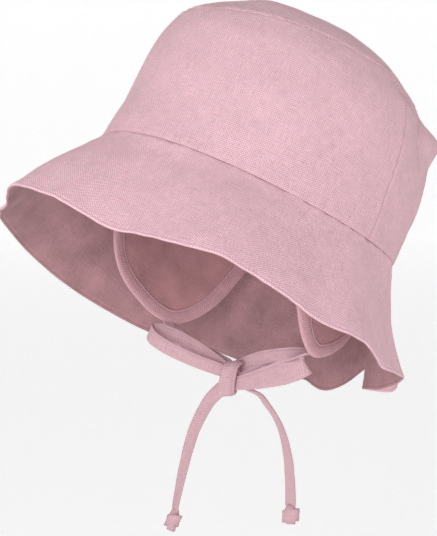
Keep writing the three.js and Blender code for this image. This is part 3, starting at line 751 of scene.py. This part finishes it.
# Angle from the front, droop below level in degrees, width as a share, share of the belly
BRIM_WAVES = np.array([
    (0, 49, 1, 0.9), (15, 52, 1, 0.5), (30, 60, 1, 0.2), (45, 56, 1, 0.3), (60, 51, 1, 0.6),
    (75, 55, 1, 0.2), (90, 60, 1, 0), (105, 58, 1, 0), (120, 64, 0.99, -0.5),
    (135, 64.5, 0.95, -1.2), (150, 64.5, 0.93, -1.3), (165, 71, 0.97, -0.5),
    (176, 60, 0.973, 0), (186, 48, 0.8, 0), (193, 71.7, 1.015, 0), (200, 77.4, 0.965, 0),
    (210, 75, 1.024, 0), (225, 62, 1, 0.3), (240, 61, 1, 0.3), (255, 73, 1, 0), (270, 68, 1, 0.2),
    (285, 64, 0.995, 0.4), (300, 57, 0.985, 0.5), (315, 51, 0.97, 0.5), (330, 56, 0.96, 0.6),
    (345, 58, 0.975, 0.9),
])


def round_table(table, column, angles):
    """Smooth values of one column of a table whose rows go once round the head."""
    rows = np.concatenate([table[-2:], table, table[:3]])
    rows[:2, 0] -= 360
    rows[-3:, 0] += 360
    turn = np.mod(angles, 360)
    at = np.clip(np.searchsorted(rows[:, 0], turn, side="right") - 1, 1, len(rows) - 3)
    x0, x1, x2, x3 = (rows[at + k, 0] for k in (-1, 0, 1, 2))
    y0, y1, y2, y3 = (rows[at + k, column] for k in (-1, 0, 1, 2))
    span = x2 - x1
    t = (turn - x1) / span
    leave, reach = (y2 - y0) / (x2 - x0) * span, (y3 - y1) / (x3 - x1) * span
    return (
        y1 * (2 * t**3 - 3 * t**2 + 1) + leave * (t**3 - 2 * t**2 + t)
        + y2 * (3 * t**2 - 2 * t**3) + reach * (t**3 - t**2)
    )


def seam_places(angles):
    turn = np.radians(angles)
    return np.stack([
        SEAM_HALF_WIDTH * np.sin(turn), -SEAM_HALF_LENGTH * np.cos(turn),
        SEAM_WAVE * np.cos(2 * turn),
    ], axis=-1)


def brim_places(angles, out):
    droop = np.radians(round_table(BRIM_WAVES, 1, angles))[None]
    outwards = seam_outwards(angles)[None]
    sideways = np.stack([-outwards[..., 1], outwards[..., 0], 0 * outwards[..., 0]], axis=-1)
    reach = out[:, None] * BRIM_WIDTH * round_table(BRIM_WAVES, 2, angles)[None]
    belly = BRIM_BELLY * round_table(BRIM_WAVES, 3, angles)[None] * np.sin(np.pi * out)[:, None]
    places = seam_places(angles)[None] + outwards * (
        reach * np.cos(droop) + belly * np.sin(droop))[..., None]
    places[..., 2] += belly * np.cos(droop) - reach * np.sin(droop) - SEAM_SLIT / 2
    through = (np.mod(angles, 360) - PLEAT_FROM) / (PLEAT_TO - PLEAT_FROM)
    within = (through > 0) & (through < 1)
    swing = np.where(within, np.sin(2 * np.pi * through), 0)[None] * (out**1.5)[:, None]
    return places + (sideways * PLEAT_SIDEWAYS - outwards * PLEAT_DEPTH) * swing[..., None]


def brim():
    plain_span, pleat_span = 360 - PLEAT_TO + PLEAT_FROM, PLEAT_TO - PLEAT_FROM
    plain = PLEAT_TO + np.arange(BRIM_COLUMNS) * plain_span / BRIM_COLUMNS
    pleat = 360 + PLEAT_FROM + np.arange(PLEAT_COLUMNS) * pleat_span / PLEAT_COLUMNS
    angles = np.concatenate([plain, pleat])
    edge = BESIDE_RIM[-1]
    from_rim = np.concatenate([
        BESIDE_RIM[:-1], np.linspace(edge, BRIM_WIDTH - edge, BRIM_ROWS),
        BRIM_WIDTH - np.array(BESIDE_BRIM_SEAM),
    ])
    places = brim_places(angles, 1 - from_rim / BRIM_WIDTH)
    normals = outward_normals(places, True)
    rim, seam = from_rim[:, None], (BRIM_WIDTH - from_rim)[:, None]
    ruffle = np.exp(-rim / RUFFLE_REACH) * ripples(places, RUFFLE)
    worn = BRIM_WORN_SHARE * worn_cloth(places, np.repeat(seam, len(angles), axis=1))
    stand = seam_roll(seam, BRIM_SEAM_NOTCH) + worn + ruffle
    groove = HEM_GROOVE * np.exp(-((rim - HEM_STITCH) / HEM_GROOVE_WIDTH) ** 2)
    hem = HEM_SWELL / (1 + np.exp((rim - HEM_WIDTH) / HEM_SOFTNESS)) - groove
    round_off = np.sqrt(np.clip(1 - (1 - np.clip(rim / RIM_ROUND, 0, 1)) ** 2, 0, 1))
    half = BRIM_CLOTH / 2 + hem
    middle = places + normals * (stand - BRIM_CLOTH / 2)[..., None]
    rounded = half * (RIM_THICKNESS + (1 - RIM_THICKNESS) * round_off)
    thickness = np.broadcast_to(rounded, stand.shape)[..., None]
    outer, inner = middle + normals * thickness, middle - normals * thickness
    rounds = np.concatenate([angles, [angles[0] + 360]]) * math.radians(1) * BRIM_UV_RADIUS
    flat = np.stack(np.broadcast_arrays(rounds[None], rim), axis=-1)
    return cloth_wall("brim_linen", outer, inner, flat, wraps=True)


# The brim's outer pink is painted lighter than the crown's, and its inner pink is painted shade
brim_cloth = linen("brim linen", BRIM_PAINTED_LIGHT_PINK, INNER_PAINTED_SHADE_PINK)
finish_piece(brim(), brim_cloth, "linen", "brim")


# Seam tape
# Inside the crown, a narrow tape covers its seam to the brim, all the way round. It lies
# close to the crown's wall and follows each dent and puff of it.
TAPE_DEGREES = 1.5
# Its section, in millimetres: height over the seam, and depth inwards from the crown's wall
TAPE_SECTION = [
    (0, 0.5), (0, 0.15), (4, 0.15), (8, 0.15), (8.6, 0.5), (8, 0.9), (4, 0.9), (0, 0.9),
]
SEAM_TO_MIDDLE = 130


def seam_tape():
    angles = np.arange(0, 360, TAPE_DEGREES)
    heights = np.array([height for height, _ in TAPE_SECTION], float)[:, None]
    along = np.repeat(heights / SEAM_TO_MIDDLE, len(angles), axis=1)
    places, _ = crown_places(angles, along)
    level_row, _ = crown_places(angles, np.repeat([[0], [0.1]], len(angles), axis=1))
    outwards = outward_normals(level_row, True)[:1]
    depth = CLOTH + np.array([inset for _, inset in TAPE_SECTION])[:, None]
    stand = worn_cloth(places, np.broadcast_to(heights, along.shape)) - depth
    rings = np.swapaxes(places + outwards * stand[..., None], 0, 1)
    count = len(TAPE_SECTION)
    faces, corners = [], []
    for ring in range(len(angles)):
        for point in range(count):
            after, ahead = (point + 1) % count, (ring + 1) % len(angles)
            faces.append((ring * count + point, ring * count + after,
                          ahead * count + after, ahead * count + point))
            spans = np.array([(0, ring), (3, ring), (3, ring + 1), (0, ring + 1)], float)
            corners.append(spans * (1, 1.9) + (3 * point, 0))
    level = (rings.reshape(-1, 3) @ bonnet_turn.T - head_rest) * MM
    # Marked as inside all over, so the tape takes the inner pink, which is painted shade
    return make_piece("seam_tape", level, faces, corners, np.ones(len(level)))


finish_piece(seam_tape(), crown_linen, "linen")


# Ear flaps
# A rounded flap of linen hangs from the seam on each side, inside the brim. A folded
# band binds its edge and is topstitched along its inner side.
FLAP_HALF_SPAN = 34
BINDING_WIDTH = 7
BINDING_THICKNESS = 2.6
# Millimetres between flap and brim, from the seam down to the flap's edge, and of its
# cloth tucked into the band; its lean inwards is a share of the depth
FLAP_CLEARANCE = 0.5
FLAP_INSET = BRIM_CLOTH + (BINDING_THICKNESS - CLOTH) / 2 + FLAP_CLEARANCE
FLAP_BELOW_SEAM = 0.3
FLAP_LEAN = 0.05
FLAP_TUCK = 1.5
FLAP_SAG = [(0.9, 18, 11), (0.3, 7, 12)]
# A flap's sag grows to its full depth over one part in this many of its height
FLAP_SAG_FADES = 4
BINDING_WAVE = [(0.22, 7, 13)]
FLAP_STEPS, FLAP_ROWS, BINDING_STEPS, EDGE_STEPS = 90, 26, 150, 600
# The edge's own direction is taken over this share of its length to each side
EDGE_SPAN = 0.09
DEGREE_LENGTH = math.radians(1) * (SEAM_HALF_WIDTH + SEAM_HALF_LENGTH) / 2
# Edge of a flap: shares of its half span from its middle, and of its depth. The left one
# is pulled back by its tie.
LEFT_FLAP = {"side": 1, "depth": 60, "centre": 109, "edge": [
    (-1, 0), (-0.88, 0.26), (-0.66, 0.5), (-0.4, 0.71), (-0.18, 0.89), (0, 0.98), (0.16, 1),
    (0.36, 0.95), (0.57, 0.86), (0.78, 0.71), (0.93, 0.38), (1, 0),
]}
RIGHT_FLAP = {"side": -1, "depth": 54, "centre": 95, "edge": [
    (-1, 0), (-0.94, 0.3), (-0.82, 0.56), (-0.56, 0.78), (-0.2, 0.92), (0.1, 0.99),
    (0.32, 0.985), (0.54, 0.87), (0.72, 0.68), (0.87, 0.38), (1, 0),
]}
# The band across, from the flap's edge inwards: millimetres, and half its thickness
BINDING_SECTION = [
    (0, 0), (0.15, 0.55), (0.6, 1), (1.4, 1.28), (2.6, 1.38), (3.9, 1.34), (5, 1.2),
    (5.5, 1.1), (5.8, 0.82), (6.1, 1.08), (6.6, 1.05), (6.95, 0.8), (7, 0),
]


def flap_places(flap, flat, inset):
    angles = flap["centre"] + flat[..., 0] / DEGREE_LENGTH
    depth = -flat[..., 1]
    inwards = inset + FLAP_LEAN * depth
    places = seam_places(angles) - seam_outwards(angles) * inwards[..., None]
    places[..., 2] -= depth
    return places * (flap["side"], 1, 1)


def flap_edge(flap, steps):
    """Flat places along a flap's edge, which way is inwards there, and the length so far."""
    depth = flap["depth"] - FLAP_BELOW_SEAM
    outline = [
        (across * FLAP_HALF_SPAN * DEGREE_LENGTH, -FLAP_BELOW_SEAM - down * depth, 0)
        for across, down in flap["edge"]
    ]
    dense = spline(outline, np.linspace(0, 1, EDGE_STEPS))
    so_far = length_along(dense)

    def at(shares):
        return np.stack([
            np.interp(np.clip(shares, 0, 1) * so_far[-1], so_far, dense[:, k]) for k in (0, 1)
        ], axis=1)

    shares = np.linspace(0, 1, steps + 1)
    ahead = unit(at(shares + EDGE_SPAN) - at(shares - EDGE_SPAN))
    return at(shares), np.stack([-ahead[:, 1], ahead[:, 0]], axis=1), shares * so_far[-1]


def ear_flap(name, flap):
    edge, inwards, _ = flap_edge(flap, FLAP_STEPS)
    half_span = FLAP_HALF_SPAN * DEGREE_LENGTH - BINDING_WIDTH - FLAP_BELOW_SEAM
    low = edge + inwards * (BINDING_WIDTH - FLAP_TUCK)
    low[:, 1] = np.minimum(low[:, 1], -FLAP_BELOW_SEAM)
    high = np.stack([np.clip(low[:, 0], -half_span, half_span), 0 * low[:, 0]], axis=1)
    up = np.linspace(0, 1, FLAP_ROWS)[:, None, None]
    flat = low[None] * (1 - up) + high[None] * up
    outer = flap_places(flap, flat, np.full(flat.shape[:2], FLAP_INSET))
    angles = flap["centre"] + flat[..., 0] / DEGREE_LENGTH
    normals = seam_outwards(angles) * (flap["side"], 1, 1)
    rise = up[..., 0] * FLAP_SAG_FADES
    fade = np.clip(rise, 0, 1) * np.clip(FLAP_SAG_FADES - rise, 0, 1)
    outer = outer + normals * (ripples(outer, FLAP_SAG) * fade)[..., None]
    return cloth_wall(name, outer, outer - normals * CLOTH, flat)


def binding(name, flap):
    edge, inwards, lengths = flap_edge(flap, BINDING_STEPS)
    section = BINDING_SECTION + [(w, -t) for w, t in BINDING_SECTION[-2:0:-1]]
    middle = FLAP_INSET + CLOTH / 2
    rings = []
    for inward, thick in section:
        flat = edge + inwards * inward
        flat[:, 1] = np.minimum(flat[:, 1], -FLAP_BELOW_SEAM)
        rings.append(flap_places(flap, flat, middle - thick * np.ones(len(flat))))
    rings = np.stack(rings, axis=1)
    rings = rings + unit(rings * (1, 1, 0)) * ripples(rings, BINDING_WAVE)[..., None]
    level = (rings @ bonnet_turn.T - head_rest) * MM
    around = np.linspace(0, 2 * BINDING_WIDTH, len(section) + 1)
    return make_strip(name, level, around, lengths)


# Both faces of the flaps take the darker pink, painted shade under the brim
flap_linen = linen("flap linen", FLAP_PAINTED_SHADE_PINK, FLAP_PAINTED_SHADE_PINK, 0.45)
binding_linen = linen("binding linen", BINDING_PINK, BINDING_PINK, 0.8)
finish_piece(
    ear_flap("ear_flap_linen_left", LEFT_FLAP), flap_linen, "flap_linen", "ear_flap_left")
finish_piece(
    ear_flap("ear_flap_linen_right", RIGHT_FLAP), flap_linen, "flap_linen", "ear_flap_right")
finish_piece(
    binding("binding_linen_left", LEFT_FLAP), binding_linen, "tape", "flap_binding_left")
finish_piece(
    binding("binding_linen_right", RIGHT_FLAP), binding_linen, "tape", "flap_binding_right")


# Bow
# The binding runs on past each flap's point as the tie. The two ties meet under the chin
# in a bow: a tight knot with a strip wrapped over it, and a flattened loop on each side.

# The ties' rows are share of the way, lift as a share of the length, and how upright the
# strip stands.
LEFT_CHIN = [(0, 0, 0), (0.1, 0.01, 0.3), (0.35, 0.02, 0.8), (0.7, 0.02, 1), (1.02, -0.02, 1)]
RIGHT_CHIN = [
    (0, 0, 0), (0.06, -0.05, 0.3), (0.35, -0.07, 0.9), (0.7, -0.05, 1), (1.02, -0.02, 1),
]
KNOT_ACROSS, KNOT_DEEP, KNOT_HIGH = 10.5, 8.5, 17
# Where a tie meets the knot, as shares of the knot's sizes, and its gap behind it
TIE_AT_KNOT = {"across": 0.24, "back": 0.46, "up": 0.36, "gap": 0.3}
TIE_ABOVE_POINT = 1.2
CHIN_STEPS, LOOP_STEPS, WRAP_OVER_STEPS = 90, 150, 90
# Each loop: which way it heads, its rise over the knot's middle, its length, half the gap
# between its two runs and half the height between them, in millimetres, and how many
# times the strip's own width it spreads
RIGHT_LOOP = {
    "heading": (-35, -25, 19), "rise": 2.4, "length": 45.5, "opening": 4.6, "shift": 2.2,
    "widen": 1.02,
}
LEFT_LOOP = {
    "heading": (50, 12, 15.5), "rise": -3.4, "length": 50, "opening": 2, "shift": -1.6,
    "widen": 1.75,
}
# Share of the loop's length out from the knot, share of its opening, share of its shift
LOOP_OUTLINE = [
    (-0.02, 0.2, 0.15), (0.12, 0.3, 0.35), (0.4, 0.8, 0.85), (0.75, 1, 1), (0.95, 0.62, 0.6),
    (1, 0, 0), (0.95, -0.62, -0.6), (0.75, -1, -1), (0.4, -0.8, -0.85), (0.12, -0.3, -0.35),
    (-0.02, -0.2, -0.15),
]
bow_across = np.array([math.cos(BOW_FACING), math.sin(BOW_FACING), 0])
bow_backwards = np.array([-bow_across[1], bow_across[0], 0])
UP = np.array([0, 0, 1.0])


def chin_tie(name, flap, rows):
    edge, _, _ = flap_edge(flap, 30)
    lowest = edge[np.argmin(edge[:, 1])] + (0, TIE_ABOVE_POINT)
    start = bonnet_turn @ flap_places(flap, lowest[None], np.array([FLAP_INSET + CLOTH / 2]))[0]
    end = (
        KNOT_PLACE + bow_across * flap["side"] * TIE_AT_KNOT["across"] * KNOT_ACROSS
        + bow_backwards * (TIE_AT_KNOT["back"] * KNOT_DEEP + TIE_AT_KNOT["gap"])
        + UP * TIE_AT_KNOT["up"] * KNOT_HIGH
    )
    span = np.linalg.norm(end - start)
    route = [start + (end - start) * share + UP * lift * span for share, lift, _ in rows]
    across = [np.array([0, 1 - upright, upright]) for _, _, upright in rows]
    made, _ = tie_strip(name, route, across, CHIN_STEPS)
    return made


def bow_loop(name, loop):
    away = unit(np.array(loop["heading"], float))
    across = unit(UP - away * away[2])
    apart = np.cross(away, across)
    start = KNOT_PLACE + UP * loop["rise"]
    route = [
        start + away * out * loop["length"] + apart * aside * loop["opening"]
        + across * up * loop["shift"]
        for out, aside, up in LOOP_OUTLINE
    ]
    widen = loop["widen"]
    gather = ([0, 0.1, 0.3, 0.7, 0.9, 1], [0.8, 0.95, widen, widen, 0.95, 0.8])
    made, _ = tie_strip(name, route, [across] * len(route), LOOP_STEPS, width=gather)
    return made


# The strip's way round the knot: across, forwards and up from the knot's middle
KNOT_WRAP = [
    (2.2, -3.4, 2.6), (2.6, -1.8, 6.4), (2.2, 1.2, 7.4), (1.3, 3.6, 5.8), (0.3, 4.5, 1.3),
    (-0.6, 4.3, -3.6), (-1.4, 2.6, -7.6), (-2, -0.6, -8.2), (-2, -3, -5),
]
# How steeply the strip slants, and its thickness as a share of a plain tie's
KNOT_SLANT = 0.16
KNOT_STRIP_THICKNESS = 1.5
# The gathered cloth inside: shares of the knot's sizes, and how deep and close its pleats are
CORE_ACROSS, CORE_DEEP, CORE_HIGH = 0.52, 0.42, 0.4
CORE_PLEAT, CORE_PLEATS = 0.07, 9
KNOT_CLOTH = (30, 26)


def from_knot(across, forwards, up):
    return KNOT_PLACE + bow_across * across - bow_backwards * forwards + UP * up


def knot_wrap(name, shift, grow):
    route = [from_knot(a + shift, f * grow, u * grow) for a, f, u in KNOT_WRAP]
    slant = unit(bow_across + UP * KNOT_SLANT)
    made, _ = tie_strip(
        name, route, [slant] * len(route), WRAP_OVER_STEPS,
        thick=([0, 1], [KNOT_STRIP_THICKNESS] * 2))
    return made


def knot_core():
    """The gathered cloth inside the knot, mostly hidden by the strip round it."""

    def shape(x, y, z):
        pleats = 1 + CORE_PLEAT * math.sin(CORE_PLEATS * z + 2 * x)
        return from_knot(
            x * KNOT_ACROSS * CORE_ACROSS, -y * KNOT_DEEP * CORE_DEEP * pleats,
            z * KNOT_HIGH * CORE_HIGH * pleats)

    return gathered_lump("bow_knot_core", shape, KNOT_CLOTH)


finish_piece(
    chin_tie("chin_tie_left", LEFT_FLAP, LEFT_CHIN), tie_linen, "tape", "chin_tape_left")
finish_piece(
    chin_tie("chin_tie_right", RIGHT_FLAP, RIGHT_CHIN), tie_linen, "tape", "chin_tape_right")
finish_piece(
    bow_loop("bow_loop_linen_right", RIGHT_LOOP), tie_linen, "tape", "bow_loop_right")
finish_piece(
    bow_loop("bow_loop_linen_left", LEFT_LOOP), tie_linen, "tape", "bow_loop_left")
finish_piece(knot_wrap("bow_knot_linen", 0, 1), tie_linen, "tape", "bow_knot")
finish_piece(knot_wrap("bow_knot_under", 1.3, 0.93), tie_linen, "tape")
finish_piece(knot_core(), tie_linen, "tape")


# Studio
# A pale floor that curves up into a pale wall all round, one broad soft light beside the
# camera, a weaker one above, and an even glow from all sides.
FLOOR_HEIGHT = -0.42
ROOM_RADIUS = 5
WALL_CURVE = 1.5
WALL_TOP = 3
ROOM_GLOW = 0.33
WORLD_GLOW = 0.47
# Each light: its place from the head seam's middle, its size, and its power
CAMERA_LIGHT = (to_camera * 1.5 - picture_right * 0.5 + Vector((0, 0, 0.15)), 0.8, 11.5)
TOP_LIGHT = (to_camera * 0.3 + Vector((0, 0, 1.5)), 1.4, 1)


def studio_bowl():
    steps = np.linspace(0, math.pi / 2, 16)
    profile = [(0.0, 0.0), (1.5, 0.0)]
    profile += [
        (ROOM_RADIUS + WALL_CURVE * math.sin(t), WALL_CURVE * (1 - math.cos(t))) for t in steps
    ]
    profile += [(ROOM_RADIUS + WALL_CURVE, WALL_TOP)]
    bowl = bmesh.new()
    edges = []
    before = None
    for out, up in profile:
        vertex = bowl.verts.new((out, 0, FLOOR_HEIGHT + up))
        if before:
            edges.append(bowl.edges.new((before, vertex)))
        before = vertex
    bmesh.ops.spin(bowl, geom=bowl.verts[:] + edges, axis=(0, 0, 1), cent=(0, 0, 0),
                   angle=2 * math.pi, steps=96, use_merge=True)
    bmesh.ops.remove_doubles(bowl, verts=bowl.verts[:], dist=0.0001)
    mesh = bpy.data.meshes.new("studio_bowl")
    bowl.to_mesh(mesh)
    bowl.free()
    mesh.shade_smooth()
    made = bpy.data.objects.new("studio_bowl", mesh)
    bpy.context.scene.collection.objects.link(made)
    paper = bpy.data.materials.new("pale paper")
    paper.use_nodes = True
    finish = paper.node_tree.nodes["Principled BSDF"]
    finish.inputs["Base Color"].default_value = (0.93, 0.93, 0.93, 1)
    finish.inputs["Roughness"].default_value = 0.9
    finish.inputs["Emission Color"].default_value = (1, 1, 1, 1)
    finish.inputs["Emission Strength"].default_value = ROOM_GLOW
    mesh.materials.append(paper)
    return made


def soft_light(name, place, size, power):
    lamp = bpy.data.lights.new(name, "AREA")
    lamp.size = size
    lamp.energy = power
    light = bpy.data.objects.new(name, lamp)
    bpy.context.scene.collection.objects.link(light)
    light.location = HEAD_SEAM_MIDDLE + place
    light.rotation_euler = (-Vector(place)).to_track_quat("-Z", "Y").to_euler()


studio_bowl()
soft_light("camera light", *CAMERA_LIGHT)
soft_light("top light", *TOP_LIGHT)
world = bpy.data.worlds.new("studio")
world.use_nodes = True
world.node_tree.nodes["Background"].inputs["Color"].default_value = (1, 1, 1, 1)
world.node_tree.nodes["Background"].inputs["Strength"].default_value = WORLD_GLOW
bpy.context.scene.world = world
bpy.context.scene.view_settings.view_transform = "Standard"
